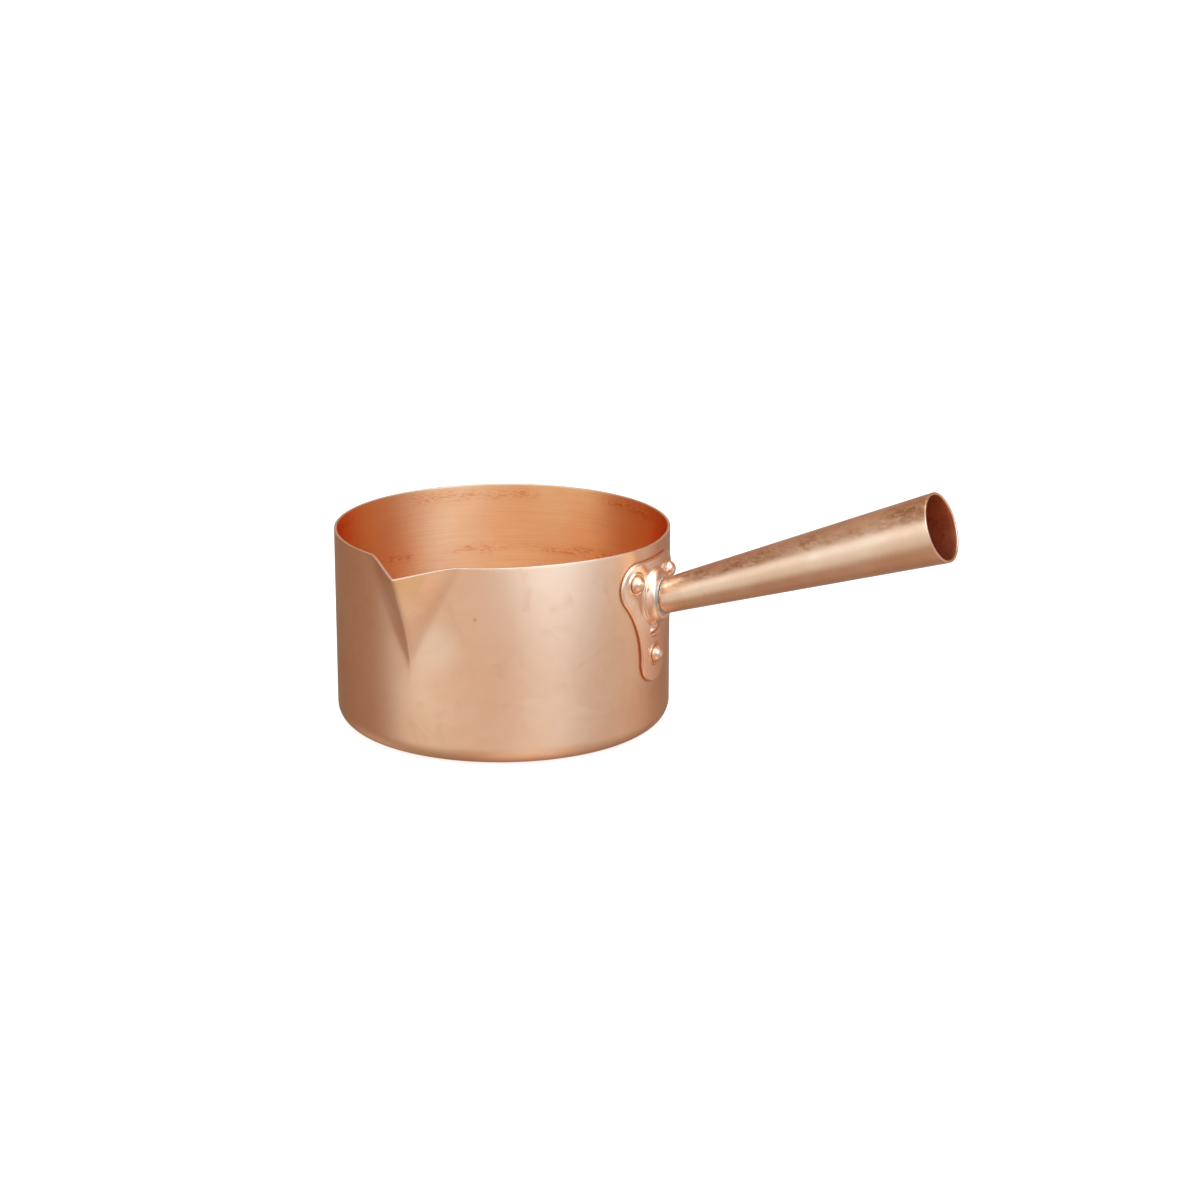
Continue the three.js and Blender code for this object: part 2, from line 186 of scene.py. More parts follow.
class Finish:
    """A metal finish made of shader nodes, with every pattern fixed to the piece."""

    def __init__(self, name, metallic=1.0):
        self.material = bpy.data.materials.new(name)
        self.material.use_nodes = True
        self.nodes = self.material.node_tree.nodes
        self.links = self.material.node_tree.links
        self.metal = self.nodes["Principled BSDF"]
        self.metal.inputs["Metallic"].default_value = metallic
        self.place = self.nodes.new("ShaderNodeTexCoord").outputs["Object"]

    def stretched(self, stretch):
        node = self.nodes.new("ShaderNodeVectorMath")
        node.operation = "MULTIPLY"
        self.links.new(self.place, node.inputs[0])
        node.inputs[1].default_value = stretch
        return node.outputs[0]

    def cloud(self, scale, detail=3.0, roughness=0.5, distortion=0.0, place=None):
        node = self.nodes.new("ShaderNodeTexNoise")
        self.links.new(place or self.place, node.inputs["Vector"])
        node.inputs["Scale"].default_value = scale
        node.inputs["Detail"].default_value = detail
        node.inputs["Roughness"].default_value = roughness
        node.inputs["Distortion"].default_value = distortion
        return node.outputs["Fac"]

    def ranged(self, value, low, high, to_low=0.0, to_high=1.0):
        node = self.nodes.new("ShaderNodeMapRange")
        node.interpolation_type = "SMOOTHSTEP"
        self.links.new(value, node.inputs["Value"])
        node.inputs["From Min"].default_value = low
        node.inputs["From Max"].default_value = high
        node.inputs["To Min"].default_value = to_low
        node.inputs["To Max"].default_value = to_high
        return node.outputs["Result"]

    def math(self, operation, first, second):
        node = self.nodes.new("ShaderNodeMath")
        node.operation = operation
        for socket, value in zip(node.inputs, (first, second)):
            if isinstance(value, (int, float)):
                socket.default_value = value
            else:
                self.links.new(value, socket)
        return node.outputs[0]

    def past(self, point, way, softness=0.5):
        """1 beyond a plane through a point given in millimetres, and 0 before it."""
        along = self.nodes.new("ShaderNodeVectorMath")
        along.operation = "DOT_PRODUCT"
        self.links.new(self.place, along.inputs[0])
        along.inputs[1].default_value = way
        plane = Vector(point).dot(Vector(way))
        before, beyond = (plane - softness) * MM, (plane + softness) * MM
        return self.ranged(along.outputs["Value"], before, beyond)

    def near(self, point, radius, softness):
        """1 round a point given in millimetres, and 0 away from it."""
        away = self.nodes.new("ShaderNodeVectorMath")
        away.operation = "DISTANCE"
        self.links.new(self.place, away.inputs[0])
        away.inputs[1].default_value = Vector(point) * MM
        return self.ranged(away.outputs["Value"], radius * MM, (radius + softness) * MM, 1.0, 0.0)

    def tinted(self, share, first, second):
        node = self.nodes.new("ShaderNodeMix")
        node.data_type = "RGBA"
        self.links.new(share, node.inputs["Factor"])
        for socket, value in ((node.inputs[6], first), (node.inputs[7], second)):
            if isinstance(value, tuple):
                socket.default_value = (*value, 1)
            else:
                self.links.new(value, socket)
        return node.outputs[2]

    def laid_over(self, tone, where, share, other):
        """The tone with a share of another laid over it, where the mask is 1."""
        return self.tinted(self.math("MULTIPLY", where, share), tone, other)

    def height_and_radius(self):
        """The parts of the place, and height plus radius, which grows along a turned profile."""
        parts = self.nodes.new("ShaderNodeSeparateXYZ")
        self.links.new(self.place, parts.inputs[0])
        across = self.nodes.new("ShaderNodeCombineXYZ")
        self.links.new(parts.outputs["X"], across.inputs["X"])
        self.links.new(parts.outputs["Y"], across.inputs["Y"])
        length = self.nodes.new("ShaderNodeVectorMath")
        length.operation = "LENGTH"
        self.links.new(across.outputs[0], length.inputs[0])
        return parts, self.math("ADD", parts.outputs["Z"], length.outputs["Value"])

    def turned_place(self, round_scale, along_scale):
        """A place that changes slowly round the pan's axis and fast along the profile."""
        parts, along = self.height_and_radius()
        joined = self.nodes.new("ShaderNodeCombineXYZ")
        self.links.new(self.math("MULTIPLY", parts.outputs["X"], round_scale), joined.inputs["X"])
        self.links.new(self.math("MULTIPLY", parts.outputs["Y"], round_scale), joined.inputs["Y"])
        self.links.new(self.math("MULTIPLY", along, along_scale), joined.inputs["Z"])
        return joined.outputs[0]

    def brushed_round(self, strength):
        """Brushing round an upright axis, which draws each highlight out upwards."""
        tangent = self.nodes.new("ShaderNodeTangent")
        tangent.direction_type = "RADIAL"
        tangent.axis = "Z"
        self.links.new(tangent.outputs["Tangent"], self.metal.inputs["Tangent"])
        self.metal.inputs["Anisotropic"].default_value = strength
        self.metal.inputs["Anisotropic Rotation"].default_value = 0.25

    def colour(self, value):
        self.links.new(value, self.metal.inputs["Base Color"])

    def roughness(self, value):
        self.links.new(value, self.metal.inputs["Roughness"])

    def relief(self, *heights):
        """Bumps laid one over another, each given as a height and its depth in metres."""
        below = None
        for height, depth in heights:
            bump = self.nodes.new("ShaderNodeBump")
            bump.inputs["Distance"].default_value = depth
            self.links.new(height, bump.inputs["Height"])
            if below:
                self.links.new(below, bump.inputs["Normal"])
            below = bump.outputs["Normal"]
        self.links.new(below, self.metal.inputs["Normal"])


# Outside: satin copper with faint clouds, smudges and wiped streaks, and one small spot on the
# wall. Painted shade darkens the foot and the low left, painted highlights lighten a flank of the
# lip and the wall below it, and a painted reflection makes a patch high in the lip yellower.
satin_light = (0.94, 0.62, 0.43)
satin_deep = (0.87, 0.54, 0.35)
smudge_and_shade_tone = (0.74, 0.42, 0.27)
wiped_tone = (0.98, 0.69, 0.53)
low_left_shade_tone = (0.78, 0.46, 0.28)
lip_reflection_tone = (0.82, 0.55, 0.31)
flank_highlight_tone = (1.0, 0.76, 0.60)
wall_highlight_tone = (1.0, 0.74, 0.58)
spot_tone = (0.50, 0.28, 0.18)
satin_specular = (0.8, 0.82, 0.78, 1)
right_of_ridge = (0.999, -0.042, 0)
into_reflected_patch = (-0.673, -0.626, 0.391)

satin = Finish("satin_copper")
clouds = satin.cloud(20, detail=4, roughness=0.6)
tone = satin.tinted(satin.ranged(clouds, 0.35, 0.7), satin_light, satin_deep)
smudges = satin.ranged(satin.cloud(48, detail=5, roughness=0.62, distortion=1.4), 0.54, 0.70)
tone = satin.laid_over(tone, smudges, 0.3, smudge_and_shade_tone)
drawn_level = satin.stretched((1, 1, 2.2))
wipes = satin.cloud(26, detail=5, roughness=0.66, distortion=0.8, place=drawn_level)
tone = satin.laid_over(tone, satin.ranged(wipes, 0.52, 0.7), 0.3, wiped_tone)
# Painted shade darkens the foot, in the same tone as the smudges.
foot_shade = satin.past((0, 0, 2.6), (0, 0, -1), 2.4)
tone = satin.laid_over(tone, foot_shade, 0.55, smudge_and_shade_tone)
# Painted shade darkens the low left of the wall.
low_left_shade = satin.past((-10, -70, 14), (-0.5, 0, -0.866), 22)
tone = satin.laid_over(tone, low_left_shade, 0.55, low_left_shade_tone)
# A painted reflection makes a patch high in the lip, right of its ridge, yellower.
beside_ridge = satin.past((-3.3, -80, 80), right_of_ridge, 0.3)
reflected_patch = satin.past((8.0, -84.9, 90.2), into_reflected_patch)
lip_reflection_mask = satin.math("MULTIPLY", beside_ridge, reflected_patch)
tone = satin.laid_over(tone, lip_reflection_mask, 0.9, lip_reflection_tone)
# Painted highlights lighten a flank of the lip and the wall below it.
tone = satin.laid_over(tone, satin.near((-10.5, -84, 76), 5, 12), 0.6, flank_highlight_tone)
tone = satin.laid_over(tone, satin.near((8, -80, 56), 5, 14), 0.45, wall_highlight_tone)
tone = satin.laid_over(tone, satin.near((27.8, -74.7, 70.5), 0.3, 1.1), 0.5, spot_tone)
satin.colour(tone)
fine_lines = satin.cloud(1, detail=2, place=satin.turned_place(60, 3200))
clouded_roughness = satin.ranged(clouds, 0.2, 0.8, 0.33, 0.40)
lined_roughness = satin.math("MULTIPLY", fine_lines, 0.06)
satin.roughness(satin.math("ADD", clouded_roughness, lined_roughness))
satin.brushed_round(0.75)
satin.metal.inputs["Specular Tint"].default_value = satin_specular
satin.relief((satin.cloud(14, detail=1), 0.00025), (fine_lines, 0.000006))

# Inside: copper brushed round and round, with two broken bands of tool marks round the wall.
# A painted reflection makes it redder at two sides.
lining_light = (0.98, 0.65, 0.37)
lining_deep = (0.96, 0.56, 0.29)
brushed_line_tone = (0.84, 0.42, 0.20)
painted_red_reflection_tone = (0.98, 0.48, 0.22)
chatter_tone = (0.76, 0.25, 0.09)
lining_specular = (1.0, 0.3, 0.1, 1)
red_reflection_from_axis = 54
red_reflection_way = Vector((0.8865, 0.4627, 0))

brushed = Finish("brushed_copper_lining")
lines = brushed.cloud(1, detail=4, roughness=0.72, place=brushed.turned_place(32, 1500))
patches = brushed.ranged(brushed.cloud(30, detail=3), 0.3, 0.7)
tone = brushed.tinted(patches, lining_light, lining_deep)
tone = brushed.laid_over(tone, brushed.ranged(lines, 0.44, 0.66), 0.34, brushed_line_tone)
wall_only = brushed.past((0, 0, 12), (0, 0, 1), 5)
# Painted reflection: the wall is redder on two opposite sides, as copper mirroring copper.
for across in (red_reflection_way, -red_reflection_way):
    red_reflection = brushed.past(red_reflection_from_axis * across, across, 14)
    red_reflection = brushed.math("MULTIPLY", red_reflection, wall_only)
    tone = brushed.laid_over(tone, red_reflection, 0.85, painted_red_reflection_tone)
chatter = brushed.cloud(1, detail=5, roughness=0.75, place=brushed.turned_place(300, 1500))
chatter = brushed.ranged(chatter, 0.48, 0.58)
broken = brushed.ranged(brushed.cloud(30, detail=2), 0.42, 0.6)
chatter = brushed.math("MULTIPLY", chatter, broken)
parts, _ = brushed.height_and_radius()
bands = []
for band_height in chatter_heights:
    from_band = brushed.math("SUBTRACT", parts.outputs["Z"], band_height * MM)
    from_band = brushed.math("ABSOLUTE", from_band, 0)
    bands.append(brushed.ranged(from_band, 0.0, chatter_reach * MM, 1.0, 0.0))
chatter = brushed.math("MULTIPLY", chatter, brushed.math("ADD", *bands))
tone = brushed.laid_over(tone, chatter, 0.85, chatter_tone)
brushed.colour(tone)
brushed.roughness(brushed.ranged(lines, 0.3, 0.7, 0.40, 0.48))
brushed.brushed_round(0.9)
brushed.metal.inputs["Specular Tint"].default_value = lining_specular
brushed.relief((lines, 0.00002), (chatter, 0.00001))

# The rim: bare metal with upright file marks.
cut_edge = Finish("filed_copper_edge")
file_marks = cut_edge.cloud(900, detail=2, place=cut_edge.stretched((1, 1, 0.2)))
cut_edge.colour(cut_edge.tinted(file_marks, (0.86, 0.66, 0.55), (0.74, 0.52, 0.42)))
cut_edge.roughness(cut_edge.ranged(file_marks, 0.3, 0.7, 0.34, 0.5))
cut_edge.relief((file_marks, 0.00001))

for finish in (satin, cut_edge, brushed):
    pan.data.materials.append(finish.material)
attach(pan, "root")
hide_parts("pot_body")


# The bracket is one plate pressed from copper sheet: two lobes and a foot for the rivets, a
# low ring round each rivet, and a hollow boss in the middle that carries the handle. Its
# edges are rounded by polishing. The small pad with a groove under the boss is pressed too.
gap = 0.3
plate_sheet = 1.4
plate_top = gap + plate_sheet
plate_back = 0.05
plate_edge_round = 1.0
rivet_drop = 15.4
rivet_half_spread = 15.2
rivet_rise = 36.9
rivet_edge = 9.4
lobe_radius = 11.7
lobe_sweep = math.radians(130)
foot_radius = 10.6
foot_below_rivet = 3.3
waist_start = 1.0
waist_pull = 10.5
seat_ring_radius = 4.9
seat_ring_half_width = 1.0
seat_ring_height = 0.6
shank_hole = 2.3
boss_half_width = 11.0
boss_half_height = 13.5
boss_drop = 24.4
boss_stand_out = 6.8
boss_foot_round = 1.3
joint_tilt = math.radians(6)
joint_run = 12.0
spigot_length = 8.0
spigot_wall = 1.0
spigot_outer_edge = 0.3
spigot_inner_edge = 0.2
handle_drop = 26.3
handle_rise = math.radians(20.2)
handle_end = 151.0
handle_small_radius = 8.1
handle_mouth_radius = 16.0
handle_sheet = 1.2
solder_width = 1.0
pad_height_on_wall = 53.6
pad_half_width = 5.1
pad_half_height = 3.1
pad_rise = 1.4
pad_steepness = 1.25
groove_slant = math.radians(19)
groove_half_width = 0.7
groove_above_pad_middle = 0.5

upper_rivet_height = pan_height - rivet_drop
lower_rivet_height = upper_rivet_height - rivet_rise
boss_height = pan_height - boss_drop
rivets = {
    "rivet_upper_left": (-rivet_half_spread, upper_rivet_height),
    "rivet_upper_right": (rivet_half_spread, upper_rivet_height),
    "rivet_lower": (0.0, lower_rivet_height),
}


def off_wall(along, height, out):
    """Places given along the wall from the handle, up from the bottom and out from the wall."""
    along, height, out = np.broadcast_arrays(along, height, out)
    point, square, _ = pan_skin(along / pan_radius, pan_radius, height, 0.0, 1.0)
    return point + out[..., None] * square


def curve_points(points, spacing):
    """The same outline with its points evenly spaced."""
    points = np.array(points)
    lengths = np.r_[0, np.cumsum(np.linalg.norm(np.diff(points, axis=0), axis=1))]
    even = np.linspace(0, lengths[-1], int(lengths[-1] / spacing) + 1)
    return np.stack([np.interp(even, lengths, points[:, i]) for i in (0, 1)], 1)


def plate_outline(spacing=0.5):
    """The flat outline of the plate, anticlockwise from the middle of its top edge."""
    lobe_x = -(rivet_half_spread + rivet_edge - lobe_radius)
    lobe_y = upper_rivet_height + rivet_edge - lobe_radius
    foot_y = lower_rivet_height - foot_below_rivet
    half = [(0, lobe_y + lobe_radius)]
    for turn in np.linspace(math.pi / 2, math.pi / 2 + lobe_sweep, 60):
        along, up = lobe_radius * math.cos(turn), lobe_radius * math.sin(turn)
        half.append((lobe_x + along, lobe_y + up))
    leave = np.array(half[-1])
    last_turn = math.pi / 2 + lobe_sweep
    waist = [
        leave,
        leave + waist_pull * np.array([-math.sin(last_turn), math.cos(last_turn)]),
        np.array([-foot_radius, foot_y + waist_start + waist_pull]),
        np.array([-foot_radius, foot_y + waist_start]),
    ]
    for t in np.linspace(0, 1, 60)[1:]:
        shares = ((1 - t) ** 3, 3 * t * (1 - t) ** 2, 3 * t**2 * (1 - t), t**3)
        half.append(tuple(sum(share * point for share, point in zip(shares, waist))))
    for turn in np.linspace(math.pi, 1.5 * math.pi, 40):
        half.append((foot_radius * math.cos(turn), foot_y + foot_radius * math.sin(turn)))
    half = curve_points(half, spacing)
    half[-1][0] = 0
    mirrored = (half * [-1, 1])[-2:0:-1]
    return np.concatenate([half, mirrored])


def drawn_in(outline, distance):
    """The outline moved inwards by a distance."""
    tangent = unit(np.roll(outline, -1, axis=0) - np.roll(outline, 1, axis=0))
    inward = np.stack([-tangent[:, 1], tangent[:, 0]], 1)
    return outline + distance * inward


def oval(half_width, half_height, count, middle=(0.0, 0.0)):
    turn = np.arange(count) / count * 2 * math.pi
    return np.stack([half_width * np.cos(turn), half_height * np.sin(turn)], 1) + middle


def pressed_relief(along, height):
    """How far the rings round the rivets and the grooved pad rise from the plate."""
    rise = np.zeros(np.broadcast(along, height).shape)
    for rivet_along, rivet_height in rivets.values():
        from_ring = np.hypot(along - rivet_along, height - rivet_height) - seat_ring_radius
        bell = np.cos(np.clip(from_ring / seat_ring_half_width, -1, 1) * math.pi / 2) ** 2
        rise = rise + seat_ring_height * bell
    across = along / pad_half_width
    up = (height - pad_height_on_wall) / pad_half_height
    dome = np.clip(pad_steepness * (1 - (across**2 + up**2) ** 1.5), 0, 1)
    above_groove = height - pad_height_on_wall - groove_above_pad_middle
    from_groove = above_groove * math.cos(groove_slant) - along * math.sin(groove_slant)
    groove = np.exp(-((from_groove / groove_half_width) ** 2))
    return rise + pad_rise * dome * (1 - groove)


def inside_shape(points, shape):
    """Which of the points lie inside a closed outline."""
    x, y = points[:, 0, None], points[:, 1, None]
    x0, y0 = shape[:, 0], shape[:, 1]
    x1, y1 = np.roll(x0, -1), np.roll(y0, -1)
    crosses = (y0 > y) != (y1 > y)
    run = np.where(y1 == y0, 1, y1 - y0)
    return (crosses & (x < (x1 - x0) * (y - y0) / run + x0)).sum(1) % 2 == 1


def grid(low, high, spacing):
    """Evenly spaced points over the rectangle between two corners."""
    x, y = np.meshgrid(*(np.arange(start, end, spacing) for start, end in zip(low, high)))
    return np.stack([x.ravel(), y.ravel()], 1)


def flat_sheet(outline, holes, inner_points):
    """Triangles that fill an outline with holes and go through the inner points."""
    loops = [outline, *holes]
    edges = []
    start = 0
    for loop in loops:
        edges += [(start + i, start + (i + 1) % len(loop)) for i in range(len(loop))]
        start += len(loop)
    points = np.concatenate([*loops, inner_points])
    result = delaunay_2d_cdt([Vector(p) for p in points], edges, [], 0, 1e-6)
    places = np.array([tuple(p) for p in result[0]])
    triangles = np.array(result[2])
    middles = places[triangles].mean(1)
    kept = inside_shape(middles, outline)
    for hole in holes:
        kept &= ~inside_shape(middles, hole)
    return places, triangles[kept]


def on_handle_axis(distance):
    """A point on the handle's axis at a distance from the wall."""
    return np.array([
        pan_radius + distance * math.cos(handle_rise),
        0.0,
        pan_height - handle_drop + distance * math.sin(handle_rise),
    ])


handle_start = boss_stand_out + gap
boss_top_radius = handle_small_radius + gap + solder_width
boss_around = 200
boss_turns = np.arange(boss_around) / boss_around * 2 * math.pi


def boss_foot(spread, around=boss_around):
    """The oval foot of the boss on the plate, wider all round by a spread."""
    half_width = boss_half_width + spread
    half_height = boss_half_height + spread
    return oval(half_width, half_height, around, (0, boss_height))


def handle_radius(distance):
    share = (distance - handle_start) / (handle_end - handle_start)
    return handle_small_radius + share * (handle_mouth_radius - handle_small_radius)


def boss_ring(turn, inset):
    """A ring of the boss, from the oval on the plate at 0 to the round top at a quarter turn."""
    top_radius = boss_top_radius - inset
    half_width = top_radius + (boss_half_width - inset - top_radius) * math.cos(turn)
    half_height = top_radius + (boss_half_height - inset - top_radius) * math.cos(turn)
    foot_x = math.sqrt((pan_radius + plate_top) ** 2 - boss_half_width**2) - inset
    foot = np.array([foot_x, 0.0, boss_height])
    middle = foot + (on_handle_axis(boss_stand_out - inset) - foot) * math.sin(turn)
    tilt = joint_tilt * math.sin(turn)
    rise = half_height * np.sin(boss_turns)
    return middle + np.stack([
        -rise * math.sin(tilt),
        half_width * np.cos(boss_turns),
        rise * math.cos(tilt),
    ], 1)


def round_handle(distance, radius, tilt=handle_rise, turns=boss_turns):
    """A ring round the handle's axis, square to it unless another tilt is given."""
    rise = radius * np.sin(turns) / math.cos(handle_rise - tilt)
    across = radius * np.cos(turns)
    ring = np.stack([-rise * math.sin(tilt), across, rise * math.cos(tilt)], 1)
    return on_handle_axis(distance) + ring


def outer_boss():
    """Rings from the plate up the outside of the boss to its round top."""
    rings = []
    for turn in np.linspace(0, math.pi / 2, 8):
        foot = boss_foot(boss_foot_round * (1 - math.sin(turn)))
        out = plate_top + boss_foot_round * (1 - math.cos(turn)) + pressed_relief(*foot.T)
        rings.append(off_wall(*foot.T, out))
    to_plate = off_wall(*boss_foot(0).T, plate_top) - boss_ring(0, 0)
    for turn in np.linspace(math.asin(boss_foot_round / boss_stand_out), math.pi / 2, 18)[1:]:
        ring = boss_ring(turn, 0) + (1 - math.sin(turn)) * to_plate
        rise = pressed_relief(pan_radius * np.arctan2(ring[:, 1], ring[:, 0]), ring[:, 2])
        rings.append(ring + rise[:, None] * [1, 0, 0])
    return rings


def inner_spigot():
    """Rings out along the spigot inside the handle, over its softened end and back."""
    spigot_top = boss_stand_out + spigot_length
    foot = handle_radius(handle_start) - handle_sheet - gap
    top = handle_radius(spigot_top) - handle_sheet - gap
    bore = foot - spigot_wall
    return [
        round_handle(boss_stand_out, foot, joint_tilt),
        round_handle(spigot_top - spigot_outer_edge, top),
        round_handle(spigot_top, top - spigot_outer_edge),
        round_handle(spigot_top, bore + spigot_inner_edge),
        round_handle(spigot_top - spigot_inner_edge, bore),
        round_handle(boss_stand_out - plate_sheet, bore),
    ]


def hollow_boss():
    """Rings from the bore of the spigot down the inside of the boss to the back."""
    rings = [boss_ring(turn, plate_sheet) for turn in np.linspace(math.pi / 2, 0, 10)]
    rings.append(off_wall(*boss_foot(-plate_sheet).T, plate_back))
    return rings


def welded(piece):
    """Joins the points of a piece that lie in one place."""
    joined = bmesh.new()
    joined.from_mesh(piece.data)
    bmesh.ops.remove_doubles(joined, verts=joined.verts, dist=2e-6)
    joined.to_mesh(piece.data)
    joined.free()


outline = plate_outline()
edge_turns = np.linspace(0, math.pi / 2, 6)
edge_loops = [drawn_in(outline, plate_edge_round * (1 - math.cos(turn))) for turn in edge_turns]
edge_heights = [plate_top - plate_edge_round * (1 - math.sin(turn)) for turn in edge_turns]
edge_rings = [off_wall(*outline.T, plate_back)]
edge_rings += [off_wall(*loop.T, out) for loop, out in zip(edge_loops, edge_heights)]
bracket_parts = [(np.concatenate(edge_rings), skinned(np.array(edge_rings)))]
rivet_holes = [oval(shank_hole, shank_hole, 48, place) for place in rivets.values()]
front_edge = edge_loops[-1]

# The front of the plate is meshed finely round the rivets and over the grooved pad, because
# they are pressed out of it, and plainly elsewhere. Its mesh keeps a margin from each edge.
plain_mesh = 0.8
plain_mesh_low = (-26, 24)
plain_mesh_high = (26.1, 92)
pad_mesh = 0.22
pad_mesh_low = (-5.3, pad_height_on_wall - 3.7)
pad_mesh_high = (5.4, pad_height_on_wall + 3.9)
pad_clearing = (5.6, 4.1)
ring_mesh = 0.25
ring_mesh_starts = 3.4
ring_mesh_ends = 6.3
ring_clearing = 0.1
edge_margin = 0.3
beside_edge = (0.6, 1.4)

fill = [drawn_in(front_edge, distance) for distance in beside_edge]
for place in rivets.values():
    for radius in np.arange(ring_mesh_starts, ring_mesh_ends, ring_mesh):
        fill.append(oval(radius, radius, 72, place))
plain = grid(plain_mesh_low, plain_mesh_high, plain_mesh)
from_pad = np.abs(plain - [0, pad_height_on_wall])
plain = plain[(from_pad >= pad_clearing).any(1)]
fill = np.concatenate([*fill, plain, grid(pad_mesh_low, pad_mesh_high, pad_mesh)])
room = inside_shape(fill, drawn_in(front_edge, edge_margin))
room &= ~inside_shape(fill, boss_foot(boss_foot_round + edge_margin, 120))
for place in rivets.values():
    from_rivet = np.hypot(*(fill - place).T)
    ring_number = (from_rivet - ring_mesh_starts) / ring_mesh
    on_ring = np.abs(ring_number - np.round(ring_number)) < 1e-6
    on_ring &= from_rivet > ring_mesh_starts - ring_clearing
    room &= on_ring | (from_rivet > ring_mesh_ends + ring_clearing)
front_holes = [boss_foot(boss_foot_round), *rivet_holes]
front, front_faces = flat_sheet(front_edge, front_holes, fill[room])
front_points = off_wall(*front.T, plate_top + pressed_relief(*front.T))
bracket_parts.append((front_points, front_faces.tolist()))

# The back is smooth and lies close to the wall, so one point in seven is enough.
back_edge_margin = 1.5
back_ring_starts = 3.5
plain = plain[::7]
room = inside_shape(plain, drawn_in(outline, back_edge_margin))
room &= ~inside_shape(plain, boss_foot(0, 120))
for place in rivets.values():
    room &= np.hypot(*(plain - place).T) > back_ring_starts
back_holes = [boss_foot(-plate_sheet), *rivet_holes]
back, back_faces = flat_sheet(outline, back_holes, plain[room])
bracket_parts.append((off_wall(*back.T, plate_back), back_faces[:, ::-1].tolist()))
for hole in rivet_holes:
    hole_rings = [off_wall(*hole.T, plate_top), off_wall(*hole.T, plate_back)]
    bracket_parts.append((np.concatenate(hole_rings), skinned(np.array(hole_rings))))
boss_rings = outer_boss() + inner_spigot() + hollow_boss()
bracket_parts.append((np.concatenate(boss_rings), skinned(np.array(boss_rings))))

bracket_points = np.concatenate([points for points, _ in bracket_parts])
bracket_faces = []
start = 0
for points, faces in bracket_parts:
    bracket_faces += [[start + i for i in face] for face in faces]
    start += len(points)
bracket = smooth_object("bracket", bracket_points, bracket_faces)
in_corner = np.arange(len(bracket_faces)) < len(outline)
bracket.data.polygons.foreach_set("material_index", in_corner.astype(int).tolist())
welded(bracket)

# The plate is polished and redder towards its foot; painted shade darkens the pad's groove.
plate_light = (0.98, 0.72, 0.56)
plate_deep = (0.91, 0.60, 0.43)
plate_foot_tone = (0.93, 0.54, 0.36)
groove_shade_tone = (0.52, 0.22, 0.13)
groove_shade_half_width = 0.6

polished = Finish("polished_copper_plate")
bloom = polished.ranged(polished.cloud(55, detail=4, roughness=0.6), 0.35, 0.7)
tone = polished.tinted(bloom, plate_light, plate_deep)
tone = polished.laid_over(tone, polished.past((0, 0, 57), (0, 0, -1), 6), 0.8, plate_foot_tone)
# Painted shade along the groove of the pad.
groove_height = pad_height_on_wall + groove_above_pad_middle
groove_middle = Vector((pan_radius + plate_top, 0, groove_height))
groove_side = Vector((0, -math.sin(groove_slant), math.cos(groove_slant)))
to_edge = groove_shade_half_width * groove_side
above_lower_edge = polished.past(groove_middle - to_edge, groove_side, 0.4)
below_upper_edge = polished.past(groove_middle + to_edge, -groove_side, 0.4)
groove_shade_mask = polished.math("MULTIPLY", above_lower_edge, below_upper_edge)
groove_shade_mask = polished.math("MULTIPLY", groove_shade_mask, polished.near(groove_middle, 4.0, 1.5))
polished.colour(polished.laid_over(tone, groove_shade_mask, 0.8, groove_shade_tone))
polished.roughness(polished.ranged(polished.cloud(160, detail=3), 0.3, 0.7, 0.19, 0.27))
polished.relief((polished.cloud(90, detail=1), 0.00012))

# Painted shade darkens the corner between the plate's edge and the wall, in random patches.
corner_shade = Finish("painted_shade_in_plate_corner")
corner_shade_patches = corner_shade.cloud(300, detail=3)
corner_shade.colour(corner_shade.tinted(corner_shade_patches, (0.66, 0.28, 0.17), (0.46, 0.16, 0.09)))
corner_shade.roughness(corner_shade.ranged(corner_shade_patches, 0.3, 0.7, 0.35, 0.5))
for finish in (polished, corner_shade):
    bracket.data.materials.append(finish.material)
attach(bracket, "root")
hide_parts("handle_bracket")


# The rivets are solid copper. Each goes through the plate and the wall, with a domed head
# hammered up outside and a low rounded head inside the pan.
shank_radius = 2.0
head_radius = 4.0
head_height = 3.6
head_edge_height = 0.35
head_edge_round = 0.25
head_fullness = 0.92
crown_fullness = 1.05
tail_height = 1.1
tail_fullness = 0.9
seat_sink = 0.02


def rivet_profile():
    """Radius and height of a rivet from the middle of its tail to the crown of its head."""
    seat = plate_top - seat_sink
    crown = plate_top + gap + head_height
    bottom = -pan_sheet - gap - tail_height
    profile = [(0.0, bottom)]
    for turn in np.linspace(0, math.pi / 2, 14)[1:]:
        low = tail_height * math.cos(turn) ** tail_fullness
        profile.append((head_radius * math.sin(turn), -pan_sheet - low))
    profile += [(shank_radius, -pan_sheet), (shank_radius, seat)]
    profile.append((head_radius - head_edge_round, seat))
    dome_foot = seat + head_edge_height
    for turn in np.linspace(0, math.pi / 2, 26):
        height = dome_foot + (crown - dome_foot) * math.sin(turn) ** crown_fullness
        profile.append((head_radius * math.cos(turn) ** head_fullness, height))
    profile[-1] = (0.0, crown)
    return profile


def upright_rings(profile, around):
    """Rings round the upright axis from pairs of radius and height."""
    rings = []
    for radius, height in profile:
        flat = oval(radius, radius, around)
        rings.append(np.column_stack([flat, np.full(around, height)]))
    return rings


